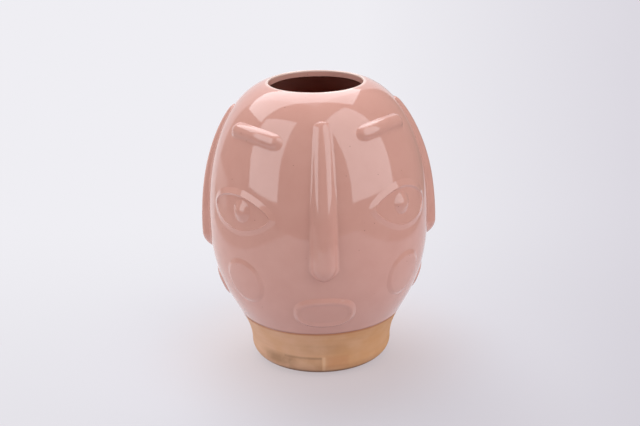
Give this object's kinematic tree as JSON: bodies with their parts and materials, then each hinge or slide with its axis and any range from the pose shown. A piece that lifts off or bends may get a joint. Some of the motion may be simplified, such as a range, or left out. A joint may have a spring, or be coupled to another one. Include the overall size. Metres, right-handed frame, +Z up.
{
  "type": "face flower pot",
  "caption": "Egg-shaped glazed earthenware flower pot with abstract relief faces round its wall, a round open mouth and a bare clay foot that it stands on.",
  "frame": {"origin": "middle of the flat ring under the foot, on the surface that the pot stands on", "axes": "+Z up out of the mouth; -Y is where the front nose points; +X is to the right of someone facing the front"},
  "size_m": [0.1874, 0.188, 0.225],
  "materials": {
    "pink_glaze": "high gloss pink glaze",
    "bare_clay": "matt unglazed buff clay"
  },
  "bodies": {
    "root": {"pot_shell": "pink_glaze", "foot": "bare_clay", "nose_front": "pink_glaze", "nose_right": "pink_glaze", "nose_back": "pink_glaze", "nose_left": "pink_glaze", "mouth_front": "pink_glaze", "mouth_right": "pink_glaze", "mouth_back": "pink_glaze", "mouth_left": "pink_glaze", "brow_front_left": "pink_glaze", "brow_front_right": "pink_glaze", "brow_back_right": "pink_glaze", "brow_back_left": "pink_glaze", "eye_front_left": "pink_glaze", "eye_front_right": "pink_glaze", "eye_back_right": "pink_glaze", "eye_back_left": "pink_glaze", "iris_front_left": "pink_glaze", "iris_front_right": "pink_glaze", "iris_back_right": "pink_glaze", "iris_back_left": "pink_glaze", "cheek_front_left": "pink_glaze", "cheek_front_right": "pink_glaze", "cheek_back_right": "pink_glaze", "cheek_back_left": "pink_glaze"}
  },
  "joints": []
}
